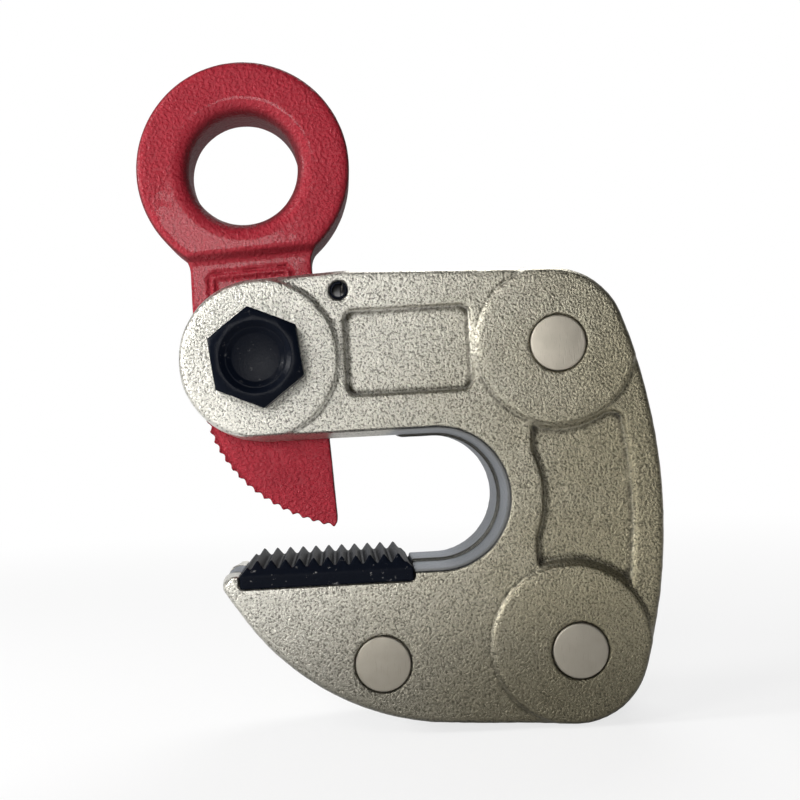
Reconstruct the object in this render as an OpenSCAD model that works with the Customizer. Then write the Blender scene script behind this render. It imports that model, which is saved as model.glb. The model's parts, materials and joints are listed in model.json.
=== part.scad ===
// Horizontal plate lifting clamp.
// A lifting eye and a toothed cam are one forged lever, hung on a bolt between two forged plates.
// The plates are riveted over a core plate, and hold a toothed pad under the cam.
// Sizes are millimetres. Every profile is drawn about the pivot bolt, X to the spine and Z up;
// the finished pieces are then moved so that the lifting eye's centre is the origin.

/* [Plates] */
// Distance from the pivot bolt to the upper corner of the spine
arm_reach = 101.8; // [90:0.2:130]
// Drop from the upper corner of the spine to the lower one
spine_drop = 106.9; // [98:0.1:135]
// Radius of the arm's round end
arm_end_r = 28.5; // [27:0.5:32]
// Radius of the two outer corners of the spine
corner_r = 26.5; // [22:0.5:30]
// Radius of the long bulge of the spine
spine_bulge_r = 193; // [160:1:260]
// Radius of the long arc under the jaw
chin_r = 90.4; // [80:0.2:100]
// Thickness of one forged plate at its field
plate_t = 14; // [11:0.5:18]
// Height of the bosses above the field
boss_rise = 1.5; // [0.6:0.1:2]
// Radius of the bosses at half their height
boss_r = 27.5; // [24:0.5:28]
// Run of the bosses' sloped walls
boss_wall = 1.2; // [0.4:0.1:2]
// Draft of the outer walls over the plate's thickness
wall_draft = 1; // [0.4:0.1:1.4]
// Rounding of the outer edges
edge_r = 2.4; // [1:0.1:2.6]
// Depth of the two sunk panels
panel_depth = 2; // [0.6:0.1:3]
// Run of the panels' sloped walls
panel_wall = 1.6; // [0.4:0.1:2.4]
// Rounding of the panels' corners at their floor
panel_corner_r = 2.4; // [1:0.1:4]
// Width of the land between a panel and the boss next to it
panel_land = 0.9; // [0.6:0.1:3]

/* [Core plate] */
// Thickness of the core plate, which is the gap between the forged plates
core_t = 22; // [18:0.5:30]
// How far the core's edge lies inside the plates' edge
core_inset = 0.5; // [0.2:0.1:1.5]

/* [Mouth] */
// Distance from the pivot bolt to the throat's centre, along the arm
throat_x = 59.7; // [54:0.1:64]
// Depth of the throat's centre below the pivot bolt
throat_z = 51.5; // [50:0.1:58]
// Radius of the throat at the plates' outer faces
throat_r = 24.8; // [22:0.1:26]
// Draft of the throat's wall over one plate
throat_draft = 2.3; // [1:0.1:3]
// How far the core stands proud of the plates in the throat
throat_core_proud = 0.8; // [0.2:0.1:1.5]

/* [Jaw] */
// Depth of the pad's seat below the pivot bolt
seat_z = 79.1; // [77.5:0.1:86]
// Length of the pad
pad_len = 60; // [50:0.5:62]
// Distance from the pivot bolt to the middle of the pad, along the arm
pad_x = 19.6; // [17:0.1:22]
// Height of the pad above its seat, to the tips of its ridges
pad_h = 9.3; // [7:0.1:11]
// Height of the pad's upright edge
pad_edge_h = 4.4; // [3:0.1:5]
// Number of ridges on the pad
pad_ridges = 11; // [7:1:15]
// Pitch of the ridges
pad_pitch = 4.9; // [3.6:0.1:5]
// Depth of the ridges
pad_tooth = 3.2; // [2:0.1:3.6]
// Radius of the tang's foot round the jaw rivet
tang_r = 14; // [13:0.5:14.5]
// Height of the nose's lip above the pad's seat
nose_lip = 4.5; // [3:0.1:6]
// Radius of the nose
nose_r = 3.7; // [3.5:0.1:5]

/* [Fasteners] */
// Shank diameter of the pivot bolt
bolt_d = 20; // [16:1:24]
// Width across the flats of the bolt's head and nut
bolt_af = 30; // [27:1:36]
// Height of the bolt's head
head_h = 12.5; // [10:0.5:15]
// Thickness of the lock washer
washer_t = 4; // [3:0.5:6]
// Height of the nut
nut_h = 16; // [13:0.5:19]
// Turn of the bolt's head about its axis
head_turn = 36.5; // [0:0.5:60]
// Diameter of the three rivets
rivet_d = 19.2; // [16:0.2:22]
// Diameter of the stop pin
stop_pin_d = 6.2; // [5:0.2:8]
// Wall of the stop pin, which is a rolled tube
stop_pin_wall = 0.9; // [0.6:0.1:1.4]

/* [Lever] */
// Height of the eye's centre above the pivot bolt
eye_z = 68.8; // [64:0.2:85]
// Offset of the eye's centre towards the mouth
eye_off = 2.75; // [0:0.25:6]
// Outer radius of the eye
eye_r = 38; // [36:0.5:44]
// Radius of the eye's bore
eye_bore_r = 19.5; // [15:0.5:22]
// Thickness of the eye
eye_t = 26; // [23:0.5:32]
// Rounding of the eye's mouths
eye_mouth_r = 6; // [3:0.5:8]
// Thickness of the lever's neck and cam
lever_t = 20; // [16:0.5:21]
// Distance of the lever's straight edge from the pivot axis
edge_dist = 21.46; // [19:0.2:23]
// Lean of that edge from upright, in degrees
edge_lean = 2.85; // [0:0.05:5]
// Distance of the neck's other edge from the pivot axis
neck_left = 23.4; // [21:0.2:26]
// Height of the shoulder under the eye, above the pivot bolt
shoulder_z = 38.5; // [36:0.5:42]
// Outer diameter of the bush pressed into the lever
bush_d = 27; // [24:0.5:30]

/* [Cam] */
// Radius of the cam's first tooth
cam_r0 = 29.2; // [27:0.1:31]
// Radius of the cam's last tooth
cam_r1 = 64.9; // [58:0.1:66]
// Angle of the cam's last tooth, in degrees
cam_end = -69.3; // [-75:0.1:-65]
// Growth of the cam's spiral for each radian of turn
cam_growth = 0.70; // [0.6:0.01:0.8]
// Number of teeth
cam_teeth = 17; // [12:1:20]
// Depth of the teeth
cam_tooth = 1.8; // [1:0.1:2.4]

/* [Motion] */
// Opening of the jaw at which the lever meets the core plate, in degrees
open_stop = 33; // [25:0.5:36]

/* [Hidden] */

$fn = 96;
far = 200;
bore_gap = 0.05;
bolt_gap = 0.1;
seat_gap = 0.2;
flat_chamfer = 0.4;
full_t = plate_t + boss_rise;
stack_y = core_t / 2 + plate_t;
boss_y = core_t / 2 + full_t;

// Centres on the plates, measured from the pivot bolt
upper_corner = [arm_reach, 0.7];
lower_corner = [arm_reach + 2.2, 0.7 - spine_drop];
upper_boss = upper_corner + [1, -1];
lower_boss = lower_corner + [-1.2, 2.4];
upper_rivet_at = upper_boss + [0.6, 0.3];
lower_rivet_at = lower_boss + [2.7, -2.4];
jaw_rivet_at = [pad_x + 17.9, -seat_z - 28.3];
stop_pin_at = [29, 22.2];
crown = [31, arm_end_r - 26.5];
crown_r = 28;
throat = [throat_x, -throat_z];
pad_left = pad_x - pad_len / 2;
pad_right = pad_x + pad_len / 2;
nose = [pad_left - 3.3, nose_lip - seat_z - nose_r];

// The spine's bulge touches both corner circles from outside
spine_reach = spine_bulge_r - corner_r;
corner_span = upper_corner - lower_corner;
corner_gap = norm(corner_span);
corner_dir = corner_span / corner_gap;
spine_centre = (upper_corner + lower_corner) / 2
    + [-corner_dir[1], corner_dir[0]] * sqrt(spine_reach ^ 2 - (corner_gap / 2) ^ 2);
spine_top = atan2(upper_corner[1] - spine_centre[1], upper_corner[0] - spine_centre[0]);
spine_low = atan2(lower_corner[1] - spine_centre[1], lower_corner[0] - spine_centre[0]);
spine_steps = 14;

// The chin is one long arc under the jaw rivet, which its lowest point is placed from
chin_low = jaw_rivet_at + [27.3, -22.9];
chin_centre = chin_low + [0, chin_r];
chin_from = -146;
chin_to = -94;
chin_steps = 14;
roller_r = 8;

// Edge profile of a forging that is top high: height and radius lost, draft first and then the rounding
edge_steps = 3;
function edge_profile(top) =
    let (straight = top - edge_r)
    concat([[0, 0]], [for (i = [0:edge_steps]) let (a = 90 * i / edge_steps)
        [straight + edge_r * sin(a), wall_draft * straight / plate_t + edge_r * (1 - cos(a))]]);

panel_slope = panel_wall / panel_depth;
panel_inset = panel_corner_r + panel_wall;
panel_steps = 6;

// The lever's spiral: equal steps along the curve
cam_turn = ln(cam_r1 / cam_r0) / cam_growth;
cam_start = cam_end - cam_turn * 180 / PI;
// Share of the pitch that the long back of a tooth takes
tooth_back = 0.72;

function polar(r, a) = [r * cos(a), r * sin(a)];
function cam_radius(i) = cam_r0 + (cam_r1 - cam_r0) * i / (cam_teeth - 1);
function cam_angle(r) = cam_start + ln(r / cam_r0) / cam_growth * 180 / PI;
function edge_x(z) = (edge_dist - z * sin(edge_lean)) / cos(edge_lean);
function along_arc(centre, r, from, to, steps) =
    [for (i = [0:steps]) centre + polar(r, from + (to - from) * i / steps)];

// Frames: pieces are drawn about the pivot and moved so that the eye's centre is the origin
module from_eye() { translate([eye_off, 0, -eye_z]) children(); }
module upright(y0, y1) {
    rotate([90, 0, 0]) translate([0, 0, -y1]) linear_extrude(y1 - y0) children();
}
module along_y(at, y0, y1, r) { upright(y0, y1) translate(at) circle(r); }
module ring_about(at) { translate([at[0], 0, at[1]]) rotate([90, 0, 0]) rotate_extrude() children(); }

// Forged plate, lying on its parting face with its outer face up
module roller(at, r, top) {
    translate(at) rotate_extrude($fn = 48)
        polygon(concat([[0, 0]], [for (e = edge_profile(top)) [r - e[1], e[0]]], [[0, top]]));
}
module forged_blank(top, inset = 0) {
    hull() {
        roller([0, 0], arm_end_r - inset, top);
        roller(crown, crown_r - inset, top);
        roller(upper_corner, corner_r - inset, top);
        for (p = along_arc(spine_centre, spine_bulge_r - roller_r, spine_low, spine_top, spine_steps))
            roller(p, roller_r - inset, top);
        roller(lower_corner, corner_r - inset, top);
        for (p = along_arc(chin_centre, chin_r - roller_r, chin_from, chin_to, chin_steps))
            roller(p, roller_r - inset, top);
        roller(nose, nose_r - inset, top);
    }
}
module block(x0, x1, z0, z1) {
    over = 1;
    translate([x0, z0, -over]) cube([x1 - x0, z1 - z0, full_t + 2 * over]);
}
// The corner of a block outside a round end, which is what trims the blank there
module round_end_trim(at, r, top, z0, z1) {
    skin = 0.1;
    difference() {
        block(-far, at[0], z0, z1);
        roller(at, r + skin, top);
    }
}
module throat_cut() {
    below = 1;
    above = 3;
    slope = throat_draft / plate_t;
    r0 = throat_r - throat_draft - slope * below;
    r1 = throat_r + slope * above;
    h = below + plate_t + above;
    translate([throat[0], throat[1], -below]) cylinder(h = h, r1 = r0, r2 = r1);
    translate([pad_left - seat_gap, throat[1], -below]) rotate([90, 0, 90])
        linear_extrude(throat_x - pad_left) polygon([[-r0, 0], [r0, 0], [r1, h], [-r1, h]]);
}
module mouth_cut() {
    lap = 1;
    throat_cut();
    block(-far, pad_left - seat_gap + 0.01, nose_lip - seat_z, -throat_z);
    block(-far, pad_left + lap, -throat_z - lap, throat_r - throat_z);
    block(pad_left - seat_gap, pad_right + seat_gap, -seat_z, -throat_z);
    round_end_trim([0, 0], arm_end_r, full_t, -throat_z, 0);
    round_end_trim(nose, nose_r, plate_t, nose[1], -throat_z);
}
// Sunk panels: each is a hull of cones that widen upwards, so its corners are round and its walls slope
module panel_corner(at) {
    over = 0.2;
    h = panel_depth + over;
    translate([at[0], at[1], plate_t - panel_depth])
        cylinder(h = h, r1 = panel_corner_r, r2 = panel_corner_r + h * panel_slope, $fn = 24);
}
// Land of radius r that a panel stops at, round a boss or the throat
module panel_stop(at, r) {
    over = 1;
    sunk = panel_depth + over;
    translate([at[0], at[1], plate_t - sunk])
        cylinder(h = sunk + over, r1 = r + sunk * panel_slope, r2 = r - over * panel_slope);
}
module arm_panel() {
    from_pivot = 29.5;
    top_rim = 14.2;
    bottom_rim = 11.7;
    left = from_pivot + panel_inset;
    right = upper_boss[0] - boss_r - panel_land - panel_inset;
    top = crown[1] + crown_r - top_rim - panel_inset;
    bottom = throat_r - throat_z + bottom_rim + panel_inset;
    difference() {
        hull() for (x = [left, right], z = [bottom, top]) panel_corner([x, z]);
        panel_stop([0, 0], boss_r + panel_land);
    }
}
module spine_panel() {
    rim = 10.7;
    web = 10.9;
    left_of_boss = 10.5;
    below_boss = 23.5;
    r = spine_bulge_r - rim - panel_inset;
    left = upper_boss[0] - left_of_boss + panel_inset;
    top = upper_boss[1] - below_boss - panel_inset;
    bottom = lower_boss[1];
    arc = [for (z = [bottom, top]) asin((z - spine_centre[1]) / r)];
    difference() {
        hull() {
            for (p = along_arc(spine_centre, r, arc[0], arc[1], panel_steps)) panel_corner(p);
            for (z = [bottom, top]) panel_corner([left, z]);
        }
        panel_stop(throat, throat_r + web);
        for (b = [upper_boss, lower_boss]) panel_stop(b, boss_r + panel_land);
    }
}
// A boss is rooted in the plate's straight wall, and slopes in above the field
module boss(at) {
    below_rounding = 0.6;
    root = plate_t - edge_r - below_rounding;
    foot = boss_r + boss_wall / 2;
    over = 1;
    translate([at[0], at[1], 0]) rotate_extrude()
        polygon([[0, root], [foot, root], [foot, plate_t],
                 [foot - boss_wall * (boss_rise + over) / boss_rise, full_t + over], [0, full_t + over]]);
}
module cheek() {
    boss_inset = 0.05;
    difference() {
        union() {
            forged_blank(plate_t);
            intersection() {
                forged_blank(full_t, boss_inset);
                union() for (at = [[0, 0], upper_boss, lower_boss]) boss(at);
            }
        }
        mouth_cut();
        arm_panel();
        spine_panel();
        translate([0, 0, -1]) cylinder(h = full_t + 2, r = bolt_d / 2 + bolt_gap);
        for (p = [upper_rivet_at, lower_rivet_at, jaw_rivet_at])
            translate([p[0], p[1], -1]) cylinder(h = full_t + 2, r = rivet_d / 2 + bore_gap);
        translate([stop_pin_at[0], stop_pin_at[1], -1])
            cylinder(h = full_t + 2, r = stop_pin_d / 2 + bore_gap);
    }
}

module front_cheek() {
    color([0.66, 0.64, 0.57]) from_eye() translate([0, -core_t / 2, 0]) rotate([90, 0, 0]) cheek();
}
module back_cheek() {
    color([0.66, 0.64, 0.57]) from_eye() mirror([0, 1, 0])
        translate([0, -core_t / 2, 0]) rotate([90, 0, 0]) cheek();
}

// Core plate between the cheeks: it spaces them, backs the throat and stops the open lever
module core_outline() {
    hull() {
        for (c = [[crown, crown_r], [upper_corner, corner_r], [lower_corner, corner_r], [nose, nose_r]])
            translate(c[0]) circle(c[1] - core_inset);
        polygon(concat([throat],
            along_arc(spine_centre, spine_bulge_r - core_inset, spine_low, spine_top, spine_steps)));
        polygon(concat([throat],
            along_arc(chin_centre, chin_r - core_inset, chin_from, chin_to, chin_steps)));
    }
}
// Space that the lever sweeps: the stop face lies where the lever's straight edge ends its travel
module lever_space() {
    a = edge_lean + open_stop;
    face = function (z) (edge_dist - z * sin(a)) / cos(a);
    low = -throat_z;
    heel = -2;
    ramp = 10;
    pin_side = stop_pin_at[0] + stop_pin_d / 2 + 2;
    polygon([[-far, low], [face(low), low], [face(heel), heel], [pin_side, heel + ramp],
             [pin_side, far], [-far, far]]);
}
module core_plate() {
    r = throat_r - throat_draft - throat_core_proud;
    skin = 0.1;
    color([0.55, 0.56, 0.56]) from_eye() upright(-core_t / 2, core_t / 2) difference() {
        core_outline();
        lever_space();
        translate(throat) circle(r);
        translate([-far, throat[1] - r]) square([far + throat_x, 2 * r]);
        translate([-far, nose_lip - seat_z]) square([far + pad_left, far]);
        translate([pad_left - seat_gap, -seat_z]) square([pad_len + 2 * seat_gap, seat_z - throat_z]);
        tang(seat_gap);
        for (p = [upper_rivet_at, lower_rivet_at]) translate(p) circle(rivet_d / 2 + bore_gap);
        difference() {
            translate([nose[0] - far, nose[1]]) square(far);
            translate(nose) circle(nose_r - core_inset + skin);
        }
    }
}

// Toothed pad: V ridges across its top, a tang between the plates and an eye for its rivet
module tang(gap = 0) {
    half = tang_r - 2;
    translate(jaw_rivet_at) circle(tang_r + gap);
    translate([jaw_rivet_at[0] - half - gap, jaw_rivet_at[1]])
        square([2 * (half + gap), -seat_z - jaw_rivet_at[1] + 1]);
}
module pad_side() {
    lead = 4.4;
    polygon([[pad_left, -seat_z], [pad_right, -seat_z], [pad_right, pad_edge_h - seat_z],
             [pad_right - lead, pad_h - seat_z], [pad_left + lead, pad_h - seat_z],
             [pad_left, pad_edge_h - seat_z]]);
}
module jaw_pad() {
    slope = 3.4;
    crest = 0.5;
    ridge_shift = 0.6;
    color([0.09, 0.09, 0.10]) from_eye() difference() {
        union() {
            intersection() {
                upright(-stack_y, stack_y) pad_side();
                translate([pad_left, 0, -seat_z]) rotate([90, 0, 90]) linear_extrude(pad_len)
                    polygon([[-stack_y, 0], [stack_y, 0], [stack_y, pad_edge_h],
                             [stack_y - slope, pad_h], [slope - stack_y, pad_h], [-stack_y, pad_edge_h]]);
            }
            upright(seat_gap - core_t / 2, core_t / 2 - seat_gap) tang();
        }
        upright(-far, far) for (i = [0:pad_ridges]) {
            x = pad_x + ridge_shift + (i - pad_ridges / 2) * pad_pitch;
            half = (pad_pitch - crest) / 2;
            top = pad_h - seat_z;
            polygon([[x - half, top], [x, top - pad_tooth], [x + half, top], [x, top + 1]]);
        }
        along_y(jaw_rivet_at, -far, far, rivet_d / 2 + bore_gap);
    }
}

// Rivets: shanks ground flush with the faces, with a small lead at each end
module rivet(at, half) {
    lead = 0.4;
    r = rivet_d / 2;
    color([0.72, 0.71, 0.68]) from_eye() ring_about(at)
        polygon([[0, -half], [r - lead, -half], [r, lead - half], [r, half - lead],
                 [r - lead, half], [0, half]]);
}
module upper_rivet() { rivet(upper_rivet_at, boss_y); }
module lower_rivet() { rivet(lower_rivet_at, boss_y); }
module jaw_rivet() { rivet(jaw_rivet_at, stack_y); }

// Rolled stop pin: a tube with one slot, driven through both cheeks
module stop_pin() {
    sunk = 0.4;
    half = stack_y - sunk;
    r = stop_pin_d / 2;
    lead = 0.4;
    slot = 0.8;
    slot_turn = 60;
    color([0.07, 0.07, 0.08]) from_eye() difference() {
        ring_about(stop_pin_at) polygon([[r - stop_pin_wall, -half], [r - lead, -half], [r, lead - half],
            [r, half - lead], [r - lead, half], [r - stop_pin_wall, half]]);
        translate([stop_pin_at[0], 0, stop_pin_at[1]]) rotate([0, -slot_turn, 0])
            translate([0, -far / 2, -slot / 2]) cube([r + 1, far, slot]);
    }
}

// Pivot bolt: dished hexagon head in front, thread behind the back cheek
module hexagon(af, h, chamfer_r) {
    corner = af / sqrt(3);
    round_r = corner + 0.5;
    lean = (round_r - chamfer_r) * tan(30);
    intersection() {
        rotate([0, 0, head_turn]) cylinder(h = h, r = corner, $fn = 6);
        union() {
            cylinder(h = h - lean, r = round_r);
            translate([0, 0, h - lean]) cylinder(h = lean, r1 = round_r, r2 = chamfer_r);
        }
    }
}
module pivot_bolt() {
    proud = 3;
    lead = 2;
    tip = boss_y + washer_t + nut_h + proud;
    r = bolt_d / 2;
    rim = bolt_af / 2 - 2.9;
    ledge = rim - 1.7;
    floor_r = rim - 3.8;
    color([0.06, 0.06, 0.07]) from_eye() rotate([90, 0, 0]) difference() {
        union() {
            translate([0, 0, boss_y]) hexagon(bolt_af, head_h, bolt_af / 2 - flat_chamfer);
            translate([0, 0, lead - tip]) cylinder(h = tip - lead + boss_y, r = r);
            translate([0, 0, -tip]) cylinder(h = lead, r1 = r - 1.6, r2 = r);
        }
        translate([0, 0, boss_y + head_h]) rotate_extrude()
            polygon([[0, 1], [rim + 0.5, 1], [rim, 0], [ledge, -1.6], [ledge - 0.5, -1.6],
                     [floor_r, -2.8], [0, -3.4]]);
    }
}
module lock_washer() {
    t = washer_t;
    inner = bolt_d / 2 + 0.3;
    outer = inner + 6;
    split = 1.4;
    split_lean = 25;
    split_turn = 200;
    color([0.10, 0.10, 0.11]) from_eye() translate([0, boss_y + t, 0]) rotate([90, 0, 0]) difference() {
        cylinder(h = t, r = outer);
        translate([0, 0, -1]) cylinder(h = t + 2, r = inner);
        rotate([0, split_lean, split_turn])
            translate([0, -split / 2, -t]) cube([outer + 4, split, 4 * t]);
    }
}
module pivot_nut() {
    color([0.06, 0.06, 0.07]) from_eye() translate([0, boss_y + washer_t, 0]) rotate([-90, 0, 0])
        difference() {
            hexagon(bolt_af, nut_h, bolt_af / 2 - flat_chamfer);
            translate([0, 0, -1]) cylinder(h = nut_h + 2, r = bolt_d / 2 + bore_gap);
        }
}

// Lever: lifting eye, shoulder, neck and toothed cam in one forging
function cam_points() =
    let (step = (cam_r1 - cam_r0) / (cam_teeth - 1))
    [for (i = [cam_teeth - 1:-1:0]) let (r = cam_radius(i), root = r - (1 - tooth_back) * step)
        each i == 0 ? [polar(r, cam_angle(r))]
                    : [polar(r, cam_angle(r)), polar(root - cam_tooth, cam_angle(root))]];
// Outline of the lever's web: the neck runs into the eye's rim with a concave blend on each side
module lever_outline() {
    eye = [-eye_off, eye_z];
    r = 9;
    reach = eye_r + r - 0.2;
    left = [-neck_left - r, eye_z - sqrt(reach ^ 2 - (neck_left + r - eye_off) ^ 2)];
    across = polar(1, edge_lean);
    along = polar(1, edge_lean + 90);
    off = edge_dist + r;
    run = eye * along - sqrt(reach ^ 2 - (off - eye * across) ^ 2);
    right = off * across + run * along;
    heel = cam_r1 * sin(cam_end) + 2.2;
    difference() {
        polygon(concat([left, eye, right, edge_dist * across + run * along, [edge_x(heel), heel]],
                       cam_points(), [[-neck_left, -8], [-neck_left, left[1]]]));
        translate(left) circle(r);
        translate(right) circle(r);
    }
}
module eye_section() {
    half = eye_t / 2;
    lip = 2.4;
    steps = 3;
    rim = [for (i = [0:steps]) let (a = 90 * i / steps)
        [eye_r - lip + lip * cos(a), half - lip + lip * sin(a)]];
    polygon(concat([[0, -half]], [for (i = [steps:-1:0]) [rim[i][0], -rim[i][1]]], rim, [[0, half]]));
}
module eye_bore_section() {
    half = eye_t / 2;
    m = eye_mouth_r;
    difference() {
        translate([0, -half - 1]) square([eye_bore_r + m, eye_t + 2]);
        translate([eye_bore_r, m - half]) square([m + 1, eye_t - 2 * m]);
        for (s = [-1, 1]) translate([eye_bore_r + m, s * (half - m)]) circle(m);
    }
}
// Sunk field on the neck with a raised frame inside it
module neck_panel() {
    left_border = 7.2;
    right_border = 6.5;
    top_border = 4.9;
    x0 = left_border - neck_left;
    x1 = edge_dist - right_border;
    z0 = -18;
    z1 = shoulder_z - top_border;
    rim = 1.4;
    bead = 1.1;
    module field(g) {
        r = 3.2 - g;
        translate([x0 + g + r, z0 + g]) square([x1 - x0 - 2 * (g + r), z1 - z0 - 2 * g]);
        translate([x0 + g, z0 + g + r]) square([x1 - x0 - 2 * g, z1 - z0 - 2 * (g + r)]);
        for (x = [x0 + g + r, x1 - g - r], z = [z0 + g + r, z1 - g - r]) translate([x, z]) circle(r);
    }
    difference() {
        field(0);
        difference() {
            field(rim);
            field(rim + bead);
        }
        circle(bush_d / 2 + 1);
    }
}
// The eye and the shoulder under it: both end on one slope, which runs down to the neck's faces
module lever_head() {
    side = 0.3;
    root = 1;
    below_eye = 0.1;
    half = lever_t / 2;
    face = eye_t / 2 - below_eye;
    rise = eye_t / 2 - half;
    low = shoulder_z - rise / 2;
    left = side + shoulder_z * sin(edge_lean) - neck_left;
    right = edge_dist - side;
    wide = half + rise + root;
    top = eye_z + eye_r + root;
    intersection() {
        union() {
            ring_about([-eye_off, eye_z]) eye_section();
            rotate([0, -edge_lean, 0]) translate([left, -face, low - root])
                cube([right - left, 2 * face, eye_z - eye_bore_r - low + root]);
        }
        rotate([0, -edge_lean, 0]) translate([-far / 2, 0, 0]) rotate([90, 0, 90]) linear_extrude(far)
            polygon([[root - half, low - root], [half - root, low - root], [wide, low + rise + root],
                     [wide, top], [-wide, top], [-wide, low + rise + root]]);
    }
}
module lever() {
    half = lever_t / 2;
    depth = 0.8;
    color([0.62, 0.10, 0.13]) from_eye() difference() {
        union() {
            upright(-half, half) lever_outline();
            lever_head();
        }
        ring_about([-eye_off, eye_z]) eye_bore_section();
        along_y([0, 0], -far, far, bush_d / 2);
        for (s = [-1, 1]) upright(s * half - depth, s * half + depth) rotate(edge_lean) neck_panel();
    }
}
module lever_bush() {
    half = lever_t / 2;
    lead = 0.5;
    inner = bolt_d / 2 + bore_gap;
    outer = bush_d / 2 - 0.02;
    color([0.66, 0.52, 0.28]) from_eye() ring_about([0, 0])
        polygon([[inner, -half], [outer - lead, -half], [outer, lead - half], [outer, half - lead],
                 [outer - lead, half], [inner, half]]);
}

front_cheek();
back_cheek();
core_plate();
jaw_pad();
upper_rivet();
lower_rivet();
jaw_rivet();
stop_pin();
pivot_bolt();
lock_washer();
pivot_nut();
lever();
lever_bush();
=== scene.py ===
"""Looks of a horizontal plate lifting clamp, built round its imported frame."""
import json
import math

import bpy
from bpy.props import FloatProperty, FloatVectorProperty, PointerProperty
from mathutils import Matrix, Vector


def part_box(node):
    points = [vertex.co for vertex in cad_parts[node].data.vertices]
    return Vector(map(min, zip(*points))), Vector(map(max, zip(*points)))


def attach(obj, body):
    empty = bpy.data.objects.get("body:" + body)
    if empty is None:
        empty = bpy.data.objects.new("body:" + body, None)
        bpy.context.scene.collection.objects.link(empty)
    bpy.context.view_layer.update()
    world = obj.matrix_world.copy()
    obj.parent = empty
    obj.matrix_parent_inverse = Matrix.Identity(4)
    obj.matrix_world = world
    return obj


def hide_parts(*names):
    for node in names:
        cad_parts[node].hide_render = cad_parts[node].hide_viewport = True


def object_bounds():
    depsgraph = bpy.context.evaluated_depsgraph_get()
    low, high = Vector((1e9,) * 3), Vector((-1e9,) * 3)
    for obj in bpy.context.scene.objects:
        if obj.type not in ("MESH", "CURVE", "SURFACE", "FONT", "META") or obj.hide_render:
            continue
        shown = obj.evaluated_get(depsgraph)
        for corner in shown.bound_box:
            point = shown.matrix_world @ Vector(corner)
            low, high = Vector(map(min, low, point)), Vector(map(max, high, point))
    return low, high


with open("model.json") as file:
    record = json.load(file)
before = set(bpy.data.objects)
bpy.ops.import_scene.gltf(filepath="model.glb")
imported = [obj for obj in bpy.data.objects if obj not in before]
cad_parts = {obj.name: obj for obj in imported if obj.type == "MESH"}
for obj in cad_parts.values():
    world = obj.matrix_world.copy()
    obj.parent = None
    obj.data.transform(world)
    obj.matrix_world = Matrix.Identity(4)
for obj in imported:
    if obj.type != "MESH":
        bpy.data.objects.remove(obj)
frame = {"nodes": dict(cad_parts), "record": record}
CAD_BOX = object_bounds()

bl_info = {
    "name": "Plate Lifting Clamp",
    "version": (1, 0, 0),
    "blender": (4, 5, 0),
    "location": "3D View > Sidebar > Clamp",
    "description": "Finishes a horizontal plate lifting clamp round its packed frame",
    "category": "Add Mesh",
}

MM = 0.001
WHITE = (1.0, 1.0, 1.0)
HINGE = next(j for j in frame["record"]["behaviour"]["joints"] if j["name"] == "lever_pivot")
PIVOT = Vector(HINGE["pos_m"])
# Depth of the core plate's faces, which the cheeks lie against
CORE_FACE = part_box("core_plate")[1].y
# Centre and radius of the throat
THROAT = PIVOT + Vector((59.7, 0, -51.5)) * MM
THROAT_R = 24.8 * MM
# Spiral of the cam's teeth: radius and angle where it starts, and how fast it grows with the angle
CAM_R = 29.2 * MM
CAM_START = math.radians(-134.7)
CAM_GROWTH = 0.70
# The cam is what lies this far below the pivot
CAM_TOP = 15 * MM
# Least share of the normal along the bolt on the cam's faces
CAM_FACING = 0.9
# Depth cut off the cam's faces beside its teeth, its reach inwards and the degrees over which it sets in
CAM_CUT = 1.1 * MM
CAM_EDGE = (0.5 * MM, 5 * MM)
CAM_FADE = (-72, -105)
# Distance inside the teeth over which the smoothing of the lever sets in
CAM_SOFT = (2 * MM, 4 * MM)
# Distance outside the core's faces over which the relief of the cheeks sets in
CHEEK_RELIEF = (0.6 * MM, 4 * MM)
# Distance from the core's faces over which the relief of its rim dies out
CORE_RELIEF = (-3 * MM, -MM)
# Corners of a CAD mesh that lie nearer than this are merged
SAME_PLACE = 0.002 * MM
# Angles between faces: merged as flat, broken as a sharp edge, shaded as an edge
FLAT = math.radians(1)
SHARP = math.radians(32)
CREASE = math.radians(35)
# Range of the plate's yellower tone and painted shade towards the spine
WARM_SHADE_FROM, WARM_SHADE_TO = 20 * MM, 190 * MM
# Heights over which painted shade sets in towards the bottom of the plate and of the rivets
PLATE_LOW_SHADE = (-130 * MM, -185 * MM)
RIVET_LOW_SHADE = (-110 * MM, -160 * MM)
# Depths over which the throat's rim darkens, and reach of the dark seam between cheek and core
LIP = (21 * MM, 24 * MM)
SEAM_FAR, SEAM_NEAR = 2.2 * MM, 0.6 * MM
# Thread: radius, ridge and root depth as shares of the pitch, steps, and shoulder down to its root
BOLT_R = 10 * MM
RIDGE_SHARE = 0.52
ROOT_SHARE = 0.61
STEPS_PER_TURN = 40
SHOULDER = 0.2 * MM
# Camera: sensor in millimetres, place, shift and nearest distance that it sees
SENSOR = 36
CAMERA_X, CAMERA_Z = 30.05 * MM, -92.7 * MM
CAMERA_SHIFT_X, CAMERA_SHIFT_Y = 0.074, 0.030
CAMERA_NEAR = 10 * MM
FLOOR_R = 4
# Place, size and colour of each lamp. Its power is the stage setting of the same name.
LAMPS = {
    "key": ((-0.60, -0.60, 0.66), 0.35, (1.0, 0.99, 0.97)),
    "rake": ((-0.62, -0.11, 0.12), 0.20, WHITE),
    "front": ((-0.09, -0.75, 0.05), 0.18, WHITE),
    "back": ((0.25, 0.65, 0.85), 0.60, WHITE),
}


def length(name, description, default):
    """A size in metres that the panel shows in the scene's own unit."""
    return FloatProperty(name=name, description=description, default=default, min=0,
                         subtype="DISTANCE", unit="LENGTH")


def colour(name, description, default):
    """A linear colour."""
    return FloatVectorProperty(name=name, description=description, default=default, size=3,
                               min=0, max=1, subtype="COLOR")


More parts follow.
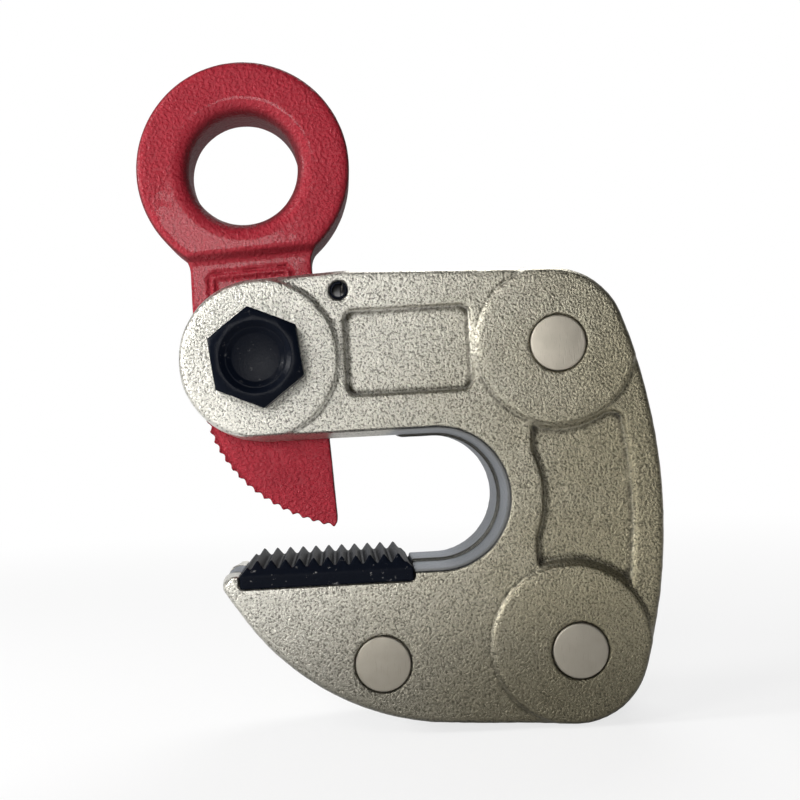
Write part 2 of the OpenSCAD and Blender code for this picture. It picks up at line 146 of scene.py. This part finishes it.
def power(name, description, default):
    """The power of a lamp in watts."""
    return FloatProperty(name=name, description=description, default=default, min=0, subtype="POWER")


def strength(name, description, default):
    """The strength of the even light, as a share of white."""
    return FloatProperty(name=name, description=description, default=default, min=0, max=1,
                         subtype="FACTOR")


def dimmed(tone, share):
    """A colour at a share of its brightness."""
    return tuple(share * c for c in tone)


class ClampSizes(bpy.types.PropertyGroup):
    """Sizes of the finish: how coarse the forgings are and how far their edges are worn"""
    cheek_voxel: length("Cheek Mesh", "Spacing of the mesh on the forged cheeks", 0.76 * MM)
    lever_voxel: length("Lever Mesh", "Spacing of the mesh on the painted lever", 0.62 * MM)
    core_voxel: length("Core Mesh", "Spacing of the mesh on the core plate", 0.9 * MM)
    pad_voxel: length("Pad Mesh", "Spacing of the mesh on the jaw pad", 0.42 * MM)
    grain: length("Grain", "Size of one grain of the blasted forging surface", 0.8 * MM)
    peel: length("Orange Peel", "Size of the ripples in the enamel", 1.2 * MM)
    edge: length("Machined Edge", "Width of the worn edge on bolts, nuts and pins", 0.3 * MM)
    thread_pitch: length("Thread Pitch", "Pitch of the pivot bolt's thread", 2.5 * MM)


class ClampColours(bpy.types.PropertyGroup):
    """Colours of the finishes"""
    # The forging colour is the lit end and the warm one the painted-shade end of the plate's tone
    # towards the spine
    forging: colour("Forging", "Plated forging surface at the mouth", (0.78, 0.76, 0.69))
    forging_warm_shade: colour("Warm Forging", "Yellower plating towards the spine", (0.31, 0.28, 0.19))
    # Dirt in the pits, the dark throat rim and seam, and also painted shade in the grooves and
    # underneath
    forging_pit_and_shade: colour("Forging Pit", "Dirt in the pits of the forging", (0.055, 0.05, 0.036))
    # Painted shade: the walls and throat take this dark colour, which the core plate's edge shares
    wall_shade: colour("Wall", "Side walls and throat", (0.17, 0.19, 0.22))
    rivet: colour("Rivet", "Ground ends of the rivets", (0.50, 0.46, 0.385))
    enamel: colour("Enamel", "Red paint of the lever", (0.35, 0.018, 0.032))
    black: colour("Black", "Blackened steel", (0.003, 0.0045, 0.009))
    rubbed: colour("Rubbed", "Bare steel where the black has worn off", (0.42, 0.41, 0.40))
    bronze: colour("Bronze", "Bearing bush", (0.55, 0.38, 0.16))


class StageSettings(bpy.types.PropertyGroup):
    """Camera and lights"""
    lens: FloatProperty(name="Lens", description="Focal length in millimetres", default=54.4, min=10,
                        subtype="DISTANCE_CAMERA")
    distance: length("Distance", "Camera to the front cheek's face", 415 * MM)
    roll: FloatProperty(name="Roll", description="Lean of the camera", default=math.radians(3.1),
                        subtype="ANGLE")
    key: power("Key", "Soft light from the upper left", 2.9)
    rake: power("Rake", "Light from the left that brings out the relief", 4.0)
    front: power("Front", "Light beside the camera", 2.2)
    back: power("Back", "Light behind the object", 6.0)
    sky: strength("Sky", "Strength of the even light from the upper left", 0.12)
    shade: strength("Shade", "Strength of the even light from the lower right", 0.04)


class Signal:
    """A number that varies over the surface: sums and products of signals add Math nodes."""

    def __init__(self, wiring, socket):
        self.wiring = wiring
        self.socket = socket

    def math(self, operation, *values):
        node = self.wiring.node("ShaderNodeMath", {"operation": operation}, dict(enumerate(values)))
        return Signal(self.wiring, node.outputs[0])

    def __add__(self, other):
        return self.math("ADD", self, other)

    def __radd__(self, other):
        return self.math("ADD", other, self)

    def __sub__(self, other):
        return self.math("SUBTRACT", self, other)

    def __rsub__(self, other):
        return self.math("SUBTRACT", other, self)

    def __mul__(self, other):
        return self.math("MULTIPLY", self, other)

    def __rmul__(self, other):
        return self.math("MULTIPLY", other, self)

    def __pow__(self, other):
        return self.math("POWER", self, other)

    def __abs__(self):
        return self.math("ABSOLUTE", self)

    def most(self, other):
        return self.math("MAXIMUM", self, other)

    def step(self, low, high):
        """0 below low, 1 above high and a smooth rise between them."""
        node = self.wiring.node(
            "ShaderNodeMapRange",
            {"interpolation_type": "SMOOTHSTEP"},
            {"Value": self, "From Min": low, "From Max": high},
        )
        return Signal(self.wiring, node.outputs[0])


class Wiring:
    """A node tree written as expressions: node() adds any node, plug() sets or links a socket."""

    def __init__(self, owner, coordinates):
        owner.use_nodes = True
        self.nodes = owner.node_tree.nodes
        self.links = owner.node_tree.links
        self.nodes.clear()
        self.place = self.node("ShaderNodeTexCoord").outputs[coordinates]

    def node(self, kind, settings=None, sockets=None):
        made = self.nodes.new(kind)
        for name, value in (settings or {}).items():
            setattr(made, name, value)
        for name, value in (sockets or {}).items():
            self.plug(made.inputs[name], value)
        return made

    def plug(self, socket, value):
        if isinstance(value, Signal):
            value = value.socket
        if isinstance(value, bpy.types.NodeSocket):
            self.links.new(value, socket)
        elif socket.type == "RGBA":
            socket.default_value = (*value, 1)
        else:
            socket.default_value = value

    def axes(self, vector):
        """The three parts of a vector as signals."""
        node = self.node("ShaderNodeSeparateXYZ", {}, {0: vector})
        return [Signal(self, s) for s in node.outputs]

    def rays(self, *kinds):
        """1 on rays of any of the given kinds."""
        path = self.node("ShaderNodeLightPath")
        found = [Signal(self, path.outputs[kind]) for kind in kinds]
        total = found[0]
        for one in found[1:]:
            total = total.most(one)
        return total


class Finish(Wiring):
    """A material with one Principled shader, and short names for the textures that feed it."""

    def __init__(self, name):
        self.material = bpy.data.materials.new(name)
        super().__init__(self.material, "Object")
        self.shader = self.node("ShaderNodeBsdfPrincipled")
        self.output = self.node("ShaderNodeOutputMaterial", {}, {"Surface": self.shader.outputs[0]})

    def set(self, **sockets):
        for name, value in sockets.items():
            label = name.replace("_", " ").title().replace("Ior", "IOR")
            self.plug(self.shader.inputs[label], value)

    def noise(self, size, detail=2.0, roughness=0.5, place=None):
        """Noise whose blotches are about size metres wide."""
        node = self.node(
            "ShaderNodeTexNoise",
            {"noise_dimensions": "3D"},
            {"Vector": place or self.place, "Scale": 1 / size, "Detail": detail,
             "Roughness": roughness},
        )
        return Signal(self, node.outputs[0])

    def cells(self, size):
        """Distance to the nearest of a cloud of points that lie about size metres apart."""
        node = self.node("ShaderNodeTexVoronoi", {}, {"Vector": self.place, "Scale": 1 / size})
        return Signal(self, node.outputs["Distance"])

    def drawn_out(self, turn, stretch):
        """The place, turned about the depth and drawn out along one direction, for scratches."""
        node = self.node(
            "ShaderNodeMapping",
            {"vector_type": "POINT"},
            {"Vector": self.place, "Rotation": (0, turn, 0), "Scale": (1, 1, 1 / stretch)},
        )
        return node.outputs[0]

    def facing(self):
        """1 where the surface lies square to the pivot bolt, 0 on the walls."""
        return abs(self.axes(self.node("ShaderNodeTexCoord").outputs["Normal"])[1])

    def hollow(self):
        """Above 0 in grooves and pits of the mesh, below 0 on its edges and crests."""
        geometry = self.node("ShaderNodeNewGeometry")
        return 0.5 - Signal(self, geometry.outputs["Pointiness"])

    def mix(self, factor, first, second):
        node = self.node("ShaderNodeMix", {"data_type": "RGBA"}, {0: factor, 6: first, 7: second})
        return node.outputs[2]

    def bump(self, height, depth):
        """A normal from height, whose whole range is depth metres."""
        return self.node("ShaderNodeBump", {}, {"Height": height, "Distance": depth}).outputs[0]


def forging_finish(sizes, colours):
    """Blasted forging with dull plating: yellower and with painted shade to the spine, painted shade
    underneath, in grooves and on the walls, smoother walls.
    """
    f = Finish("forged_plate")
    x, y, z = f.axes(f.place)
    grain = f.noise(sizes.grain, 2.0, 0.6)
    pits = f.cells(sizes.grain * 1.3)
    broad = f.noise(16 * MM, 3.0, 0.55)
    face = f.facing().step(0.55, 0.95)
    # Painted shade: towards the spine the plate turns darker as well as yellower
    warm_shade = (x - z * 0.35 + broad * 30 * MM).step(WARM_SHADE_FROM, WARM_SHADE_TO)
    tone = f.mix(warm_shade, colours.forging, colours.forging_warm_shade)
    # Painted shade: darker towards the bottom
    underside_shade = (z + broad * 20 * MM).step(*PLATE_LOW_SHADE) * 0.6
    specks = grain.step(0.50, 0.36) * 0.66
    # Painted shade in the grooves and hollows of the mesh
    grooves = f.hollow().step(0.003, 0.032)
    for dirt_and_shade in (underside_shade, specks, grooves):
        tone = f.mix(dirt_and_shade, tone, colours.forging_pit_and_shade)
    from_throat = ((x - THROAT.x) ** 2 + (z - THROAT.z) ** 2) ** 0.5
    inside = from_throat.step(THROAT_R + 5 * MM, THROAT_R + 2 * MM)
    # Painted shade on the side walls, strongest on the throat's walls
    tone = f.mix((1 - face) * (0.15 + inside * 0.75), tone, colours.wall_shade)
    lip = (abs(y) + grain * 2 * MM).step(*LIP)
    seam = abs(y).step(CORE_FACE + SEAM_FAR, CORE_FACE + SEAM_NEAR)
    tone = f.mix((1 - face) * inside * lip.most(seam) * 0.7, tone, colours.forging_pit_and_shade)
    height = grain * 0.8 + pits * 0.25 + f.noise(sizes.grain * 0.4, 1.0) * 0.2
    f.set(
        base_color=tone,
        metallic=0.92,
        roughness=0.31 + grain * 0.10,
        normal=f.bump(height * (0.2 + face * 0.8), 0.62 * MM),
    )
    return f.material


def core_finish(colours):
    """Sheared and plated edge of the core plate."""
    f = Finish("core_steel")
    grain = f.noise(1.1 * MM, 4.0, 0.6)
    # The core's edge takes the walls' painted shade as its tone, varied by its grain
    tone = f.mix(grain.step(0.3, 0.7), dimmed(colours.wall_shade, 0.5), colours.wall_shade)
    seam = abs(f.axes(f.place)[1]).step(CORE_FACE - SEAM_FAR, CORE_FACE - SEAM_NEAR)
    tone = f.mix(seam * 0.8, tone, colours.forging_pit_and_shade)
    f.set(base_color=tone, metallic=0.9, roughness=0.32 + grain * 0.25, normal=f.bump(grain, 0.25 * MM))
    return f.material


def rivet_finish(colours):
    """Ground steel with soft clouds and a few fine scratches, with painted shade on the lower rivets."""
    f = Finish("rivet_steel")
    cloud = f.noise(5 * MM, 3.0)
    scratch = f.noise(0.35 * MM, 2.0, 0.6, f.drawn_out(math.radians(25), 14)).step(0.60, 0.70)
    low_shade = f.axes(f.place)[2].step(*RIVET_LOW_SHADE)
    tone = f.mix(cloud.step(0.3, 0.8) * 0.4, colours.rivet, dimmed(colours.rivet, 0.8))
    # Painted shade on the lower rivets
    tone = f.mix(low_shade * 0.4, tone, dimmed(colours.rivet, 0.25))
    tone = f.mix(scratch * 0.3, tone, dimmed(colours.rivet, 0.55))
    f.set(base_color=tone, metallic=0.9, roughness=0.46 + cloud * 0.1,
          normal=f.bump(scratch * -0.5 + cloud, 0.04 * MM))
    return f.material


def enamel_finish(sizes, colours):
    """Thick rippled red paint, a little glossier on the eye, duller on the walls and with painted shade
    there.
    """
    f = Finish("red_paint")
    eye = f.axes(f.place)[2].step(PIVOT.z, PIVOT.z + 40 * MM)
    peel = f.noise(sizes.peel, 2.0, 0.5)
    lumps = f.noise(7 * MM, 2.0)
    face = f.facing().step(0.5, 0.97)
    tone = f.mix(lumps.step(0.3, 0.8) * 0.35, colours.enamel, dimmed(colours.enamel, 0.7))
    # Painted shade on the lever's walls
    tone = f.mix((1 - face) * 0.9, tone, dimmed(colours.enamel, 0.28))
    f.set(
        base_color=tone,
        roughness=0.42 + (1 - face) * 0.2,
        specular_ior_level=0.2,
        coat_weight=face * (0.03 + eye * 0.04),
        coat_roughness=0.09,
        normal=f.bump(peel.step(0.35, 0.75) + lumps * 0.15, 0.30 * MM),
    )
    return f.material


def black_finish(name, colours, roughness, wear):
    """Blackened steel, rubbed bright in small spots."""
    f = Finish(name)
    grain = f.noise(0.8 * MM, 3.0, 0.6)
    rubbed = f.noise(2.6 * MM, 4.0, 0.7).step(0.62, 0.72) * wear
    tone = f.mix(rubbed, colours.black, colours.rubbed)
    f.set(base_color=tone, roughness=roughness + grain * 0.15, specular_ior_level=0.05,
          normal=f.bump(grain, 0.06 * MM))
    return f.material


def bronze_finish(colours):
    """Oiled bearing bronze."""
    f = Finish("bush_bronze")
    grain = f.noise(0.6 * MM, 2.0)
    tone = f.mix(grain, colours.bronze, dimmed(colours.bronze, 0.7))
    f.set(base_color=tone, metallic=1.0, roughness=0.28 + grain * 0.1)
    return f.material


def only(obj):
    """Leaves obj as the one selected and active object."""
    bpy.ops.object.select_all(action="DESELECT")
    obj.select_set(True)
    bpy.context.view_layer.objects.active = obj


def apply(obj, kind, **settings):
    """Adds a modifier to obj and applies it."""
    only(obj)
    modifier = obj.modifiers.new(kind.title(), kind)
    for name, value in settings.items():
        setattr(modifier, name, value)
    bpy.ops.object.modifier_apply(modifier=modifier.name)


def copy_of(node, name):
    """A merged copy of a CAD node's mesh, to be shaped into the finished piece."""
    source = frame["nodes"][node]
    piece = bpy.data.objects.new(name, source.data.copy())
    bpy.context.scene.collection.objects.link(piece)
    piece.data.materials.clear()
    only(piece)
    bpy.ops.object.mode_set(mode="EDIT")
    bpy.ops.mesh.select_all(action="SELECT")
    bpy.ops.mesh.remove_doubles(threshold=SAME_PLACE)
    bpy.ops.mesh.customdata_custom_splitnormals_clear()
    bpy.ops.object.mode_set(mode="OBJECT")
    return piece


def rough_out(piece, voxel, smoothing=0):
    """Gives a forging an even mesh, and rounds its edges as the die and the blasting leave them."""
    apply(piece, "REMESH", mode="VOXEL", voxel_size=voxel, adaptivity=0, use_smooth_shade=True)
    if smoothing:
        apply(piece, "SMOOTH", factor=0.5, iterations=smoothing)


def ramp(value, low, high):
    """0 below low, 1 above high and a straight rise between them."""
    return min(max((value - low) / (high - low), 0), 1)


def weigh(piece, name, weight):
    """Gives piece a vertex group with the weight of each vertex above 0, and returns its name."""
    group = piece.vertex_groups.new(name=name)
    for vertex in piece.data.vertices:
        share = weight(vertex)
        if share > 0:
            group.add((vertex.index,), share, "REPLACE")
    return name


def undulate(piece, name, size, height, group):
    """Moves the surface in and out by a soft noise of the given size, within a vertex group."""
    texture = bpy.data.textures.new(name, "CLOUDS")
    texture.noise_scale = size
    texture.noise_depth = 2
    apply(piece, "DISPLACE", texture=texture, texture_coords="LOCAL", direction="NORMAL", mid_level=0.5,
          strength=height, vertex_group=group)


def machined(piece, width):
    """Breaks the sharp edges of a turned or milled piece."""
    only(piece)
    bpy.ops.object.mode_set(mode="EDIT")
    bpy.ops.mesh.select_all(action="SELECT")
    bpy.ops.mesh.dissolve_limited(angle_limit=FLAT)
    bpy.ops.object.mode_set(mode="OBJECT")
    apply(piece, "BEVEL", width=width, segments=3, limit_method="ANGLE", angle_limit=SHARP,
          use_clamp_overlap=True, harden_normals=False)
    bpy.ops.object.shade_smooth_by_angle(angle=CREASE)


def stands_for(piece, node, body, material):
    """Dresses a finished piece, lets it ride on its body and hides the CAD node that it stands for."""
    piece.data.materials.clear()
    piece.data.materials.append(material)
    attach(piece, body)
    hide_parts(node)


class CLAMP_OT_stage(bpy.types.Operator):
    """Sets up the camera, the floor, the even light and the lamps"""
    bl_idname = "clamp.stage"
    bl_label = "Stage"

    def execute(self, context):
        scene = context.scene
        stage = scene.clamp_stage
        low, high = CAD_BOX
        face_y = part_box("front_cheek")[0].y
        camera = bpy.data.objects.new("camera", bpy.data.cameras.new("camera"))
        camera.data.lens = stage.lens
        camera.data.sensor_width = SENSOR
        camera.data.shift_x = CAMERA_SHIFT_X
        camera.data.shift_y = CAMERA_SHIFT_Y
        camera.data.clip_start = CAMERA_NEAR
        camera.location = (CAMERA_X, face_y - stage.distance, CAMERA_Z)
        camera.rotation_euler = (math.radians(90), stage.roll, 0)
        scene.collection.objects.link(camera)
        scene.camera = camera
        scene.view_settings.view_transform = "Standard"
        self.sky(scene, stage)
        self.floor(low.z)
        middle = (low + high) / 2
        for name in LAMPS:
            self.lamp(scene, name, getattr(stage, name), middle)
        return {"FINISHED"}

    def lamp(self, scene, name, watts, target):
        """A round lamp from the table, turned to the target."""
        place, size, tint = LAMPS[name]
        light = bpy.data.lights.new(name, "AREA")
        light.shape = "DISK"
        light.size = size
        light.energy = watts
        light.color = tint
        lamp = bpy.data.objects.new(name, light)
        lamp.location = place
        lamp.rotation_euler = (target - Vector(place)).to_track_quat("-Z", "Y").to_euler()
        scene.collection.objects.link(lamp)

    def sky(self, scene, stage):
        """White behind the object, and soft light that is stronger from the upper left elsewhere."""
        scene.world = bpy.data.worlds.new("studio")
        w = Wiring(scene.world, "Generated")
        across, along, up = w.axes(w.place)
        soft = stage.shade + (up * 0.7 - across * 0.7).step(-0.8, 0.9) * (stage.sky - stage.shade)
        white = w.rays("Is Camera Ray", "Is Transmission Ray").most(
            w.rays("Is Glossy Ray") * along.step(0.4, 1.0))
        background = w.node("ShaderNodeBackground", {}, {"Color": WHITE,
                                                         "Strength": soft + white * (1 - soft)})
        w.node("ShaderNodeOutputWorld", {}, {"Surface": background.outputs[0]})

    def floor(self, height):
        """Pale floor that takes the object's shadow and runs out into the white background."""
        bpy.ops.object.select_all(action="DESELECT")
        bpy.ops.mesh.primitive_circle_add(vertices=96, radius=FLOOR_R, fill_type="NGON",
                                          location=(0, 0, height))
        floor = bpy.context.object
        floor.name = "floor"
        bpy.ops.object.transform_apply(location=True)
        f = Finish("floor")
        f.set(base_color=(0.86, 0.86, 0.86), roughness=0.9)
        x, y = f.axes(f.place)[:2]
        away = ((x * x + y * y) ** 0.5).step(0.15, 0.9)
        glow = f.node("ShaderNodeEmission", {}, {"Color": WHITE, "Strength": 1.0})
        straight = f.rays("Is Camera Ray", "Is Transmission Ray") * (0.75 + away * 0.25)
        seen = straight.most(f.rays("Is Glossy Ray") * away * y.step(0, 0.5))
        mixed = f.node("ShaderNodeMixShader", {},
                       {0: seen, 1: f.shader.outputs[0], 2: glow.outputs[0]})
        f.plug(f.output.inputs["Surface"], mixed.outputs[0])
        floor.data.materials.append(f.material)


class CLAMP_OT_cheeks(bpy.types.Operator):
    """Models the two forged cheeks"""
    bl_idname = "clamp.cheeks"
    bl_label = "Forged Cheeks"

    def execute(self, context):
        sizes, colours = context.scene.clamp_sizes, context.scene.clamp_colours
        material = forging_finish(sizes, colours)
        for node in ("front_cheek", "back_cheek"):
            piece = copy_of(node, node + "_forging")
            rough_out(piece, sizes.cheek_voxel, 2)
            skin = weigh(piece, "skin", lambda v: ramp(abs(v.co.y) - CORE_FACE, *CHEEK_RELIEF))
            undulate(piece, "forging_swell", 9 * MM, 0.25 * MM, skin)
            undulate(piece, "forging_grain", 2.0 * MM, 0.16 * MM, skin)
            stands_for(piece, node, "frame", material)
        return {"FINISHED"}


class CLAMP_OT_core(bpy.types.Operator):
    """Models the core plate between the cheeks"""
    bl_idname = "clamp.core"
    bl_label = "Core Plate"

    def execute(self, context):
        sizes, colours = context.scene.clamp_sizes, context.scene.clamp_colours
        piece = copy_of("core_plate", "core_plate_cut")
        rough_out(piece, sizes.core_voxel, 1)
        edge = weigh(piece, "edge", lambda v: 1 - ramp(abs(v.co.y) - CORE_FACE, *CORE_RELIEF))
        undulate(piece, "core_swell", 5 * MM, 0.3 * MM, edge)
        stands_for(piece, "core_plate", "frame", core_finish(colours))
        return {"FINISHED"}


class CLAMP_OT_pad(bpy.types.Operator):
    """Models the ridged jaw pad"""
    bl_idname = "clamp.pad"
    bl_label = "Jaw Pad"

    def execute(self, context):
        sizes, colours = context.scene.clamp_sizes, context.scene.clamp_colours
        piece = copy_of("jaw_pad", "jaw_pad_ridged")
        rough_out(piece, sizes.pad_voxel, 2)
        material = black_finish("pad_steel", colours, 0.42, 0.5)
        stands_for(piece, "jaw_pad", "frame", material)
        return {"FINISHED"}


class CLAMP_OT_rivets(bpy.types.Operator):
    """Models the three rivets with their ground ends"""
    bl_idname = "clamp.rivets"
    bl_label = "Rivets"

    def execute(self, context):
        sizes, colours = context.scene.clamp_sizes, context.scene.clamp_colours
        material = rivet_finish(colours)
        for node in ("upper_rivet", "lower_rivet", "jaw_rivet"):
            piece = copy_of(node, node + "_ground")
            machined(piece, sizes.edge)
            stands_for(piece, node, "frame", material)
        return {"FINISHED"}


class CLAMP_OT_fasteners(bpy.types.Operator):
    """Models the pivot bolt, its washer and nut, and the stop pin"""
    bl_idname = "clamp.fasteners"
    bl_label = "Bolt, Washer, Nut and Pin"

    def execute(self, context):
        sizes, colours = context.scene.clamp_sizes, context.scene.clamp_colours
        material = black_finish("bolt_steel", colours, 0.25, 0.1)
        for node in ("pivot_bolt", "lock_washer", "pivot_nut", "stop_pin"):
            piece = copy_of(node, node + "_black")
            machined(piece, sizes.edge)
            if node == "pivot_bolt":
                self.thread(piece, sizes.thread_pitch)
            stands_for(piece, node, "frame", material)
        return {"FINISHED"}

    def thread(self, bolt, pitch):
        """Cuts the bolt's end down to the thread's root and winds one V-shaped ridge round it."""
        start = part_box("pivot_nut")[1].y - pitch
        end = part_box("pivot_bolt")[1].y - pitch / 2
        ridge = pitch * RIDGE_SHARE
        root = BOLT_R - pitch * ROOT_SHARE
        only(bolt)
        bpy.ops.object.mode_set(mode="EDIT")
        for cut in (start, start + SHOULDER):
            bpy.ops.mesh.select_all(action="SELECT")
            bpy.ops.mesh.bisect(plane_co=(0, cut, 0), plane_no=(0, 1, 0))
        bpy.ops.object.mode_set(mode="OBJECT")
        for vertex in bolt.data.vertices:
            arm = Vector((vertex.co.x - PIVOT.x, 0, vertex.co.z - PIVOT.z))
            if vertex.co.y > start + SHOULDER / 2 and arm.length > root:
                arm *= root / arm.length
                vertex.co = (PIVOT.x + arm.x, vertex.co.y, PIVOT.z + arm.z)
        bpy.ops.object.select_all(action="DESELECT")
        bpy.ops.mesh.primitive_circle_add(vertices=3, radius=ridge, fill_type="NOTHING",
                                          location=(BOLT_R - ridge, start, 0),
                                          rotation=(0, 0, math.radians(-90)))
        coil = bpy.context.object
        bpy.ops.object.transform_apply(location=True, rotation=True)
        turns = (end - start) / pitch
        steps = round(turns * STEPS_PER_TURN)
        apply(coil, "SCREW", axis="Y", angle=math.tau * turns, screw_offset=pitch * turns, steps=steps,
              render_steps=steps)
        bpy.ops.object.mode_set(mode="EDIT")
        bpy.ops.mesh.select_all(action="SELECT")
        bpy.ops.mesh.fill_holes(sides=3)
        bpy.ops.mesh.select_all(action="SELECT")
        bpy.ops.mesh.normals_make_consistent(inside=False)
        bpy.ops.transform.translate(value=(PIVOT.x, 0, PIVOT.z))
        bpy.ops.object.mode_set(mode="OBJECT")
        only(bolt)
        coil.select_set(True)
        bpy.ops.object.join()


class CLAMP_OT_lever(bpy.types.Operator):
    """Models the painted lever with its eye and toothed cam, and its bush"""
    bl_idname = "clamp.lever"
    bl_label = "Lever"

    def execute(self, context):
        sizes, colours = context.scene.clamp_sizes, context.scene.clamp_colours
        piece = copy_of("lever", "lever_forging")
        rough_out(piece, sizes.lever_voxel)
        soft = weigh(piece, "soft", lambda v: ramp(self.depth(v.co), *CAM_SOFT))
        apply(piece, "SMOOTH", factor=0.5, iterations=3, vertex_group=soft)
        cam = weigh(piece, "cam_edge", self.cam_edge)
        apply(piece, "DISPLACE", direction="NORMAL", mid_level=0, strength=-CAM_CUT, vertex_group=cam)
        undulate(piece, "lever_swell", 7 * MM, 0.12 * MM, soft)
        stands_for(piece, "lever", "lever", enamel_finish(sizes, colours))
        bush = frame["nodes"]["lever_bush"]
        bush.data.materials.clear()
        bush.data.materials.append(bronze_finish(colours))
        return {"FINISHED"}

    def cam_edge(self, vertex):
        """1 on the cam's faces beside its teeth, falling to 0 further in and towards the last tooth."""
        if abs(vertex.normal.y) < CAM_FACING:
            return 0
        at = vertex.co
        turn = math.degrees(math.atan2(at.z - PIVOT.z, at.x - PIVOT.x))
        return (1 - ramp(self.depth(at), *CAM_EDGE)) ** 2 * ramp(turn, *CAM_FADE)

    def depth(self, at):
        """How far a point of the cam lies inside the spiral of its teeth, 1 m elsewhere on the lever."""
        if at.z > PIVOT.z - CAM_TOP:
            return 1
        arm = at - PIVOT
        spiral = CAM_R * math.exp(CAM_GROWTH * (math.atan2(arm.z, arm.x) - CAM_START))
        return (spiral - math.hypot(arm.x, arm.z)) / math.hypot(1, CAM_GROWTH)


class CLAMP_PT_panel(bpy.types.Panel):
    """Lists the pieces of the clamp"""
    bl_idname = "CLAMP_PT_panel"
    bl_label = "Plate Lifting Clamp"
    bl_space_type = "VIEW_3D"
    bl_region_type = "UI"
    bl_category = "Clamp"

    def draw(self, context):
        for operator in OPERATORS:
            self.layout.operator(operator.bl_idname)


OPERATORS = (CLAMP_OT_stage, CLAMP_OT_cheeks, CLAMP_OT_core, CLAMP_OT_pad, CLAMP_OT_rivets,
             CLAMP_OT_fasteners, CLAMP_OT_lever)
GROUPS = {"clamp_sizes": ClampSizes, "clamp_colours": ClampColours, "clamp_stage": StageSettings}
CLASSES = (*GROUPS.values(), *OPERATORS, CLAMP_PT_panel)


def register():
    for cls in CLASSES:
        bpy.utils.register_class(cls)
    for name, group in GROUPS.items():
        setattr(bpy.types.Scene, name, PointerProperty(type=group))


def unregister():
    for name in GROUPS:
        delattr(bpy.types.Scene, name)
    for cls in reversed(CLASSES):
        bpy.utils.unregister_class(cls)


def main():
    register()
    for operator in OPERATORS:
        name = operator.bl_idname.split(".")[1]
        getattr(bpy.ops.clamp, name)()


if __name__ == "__main__":
    main()
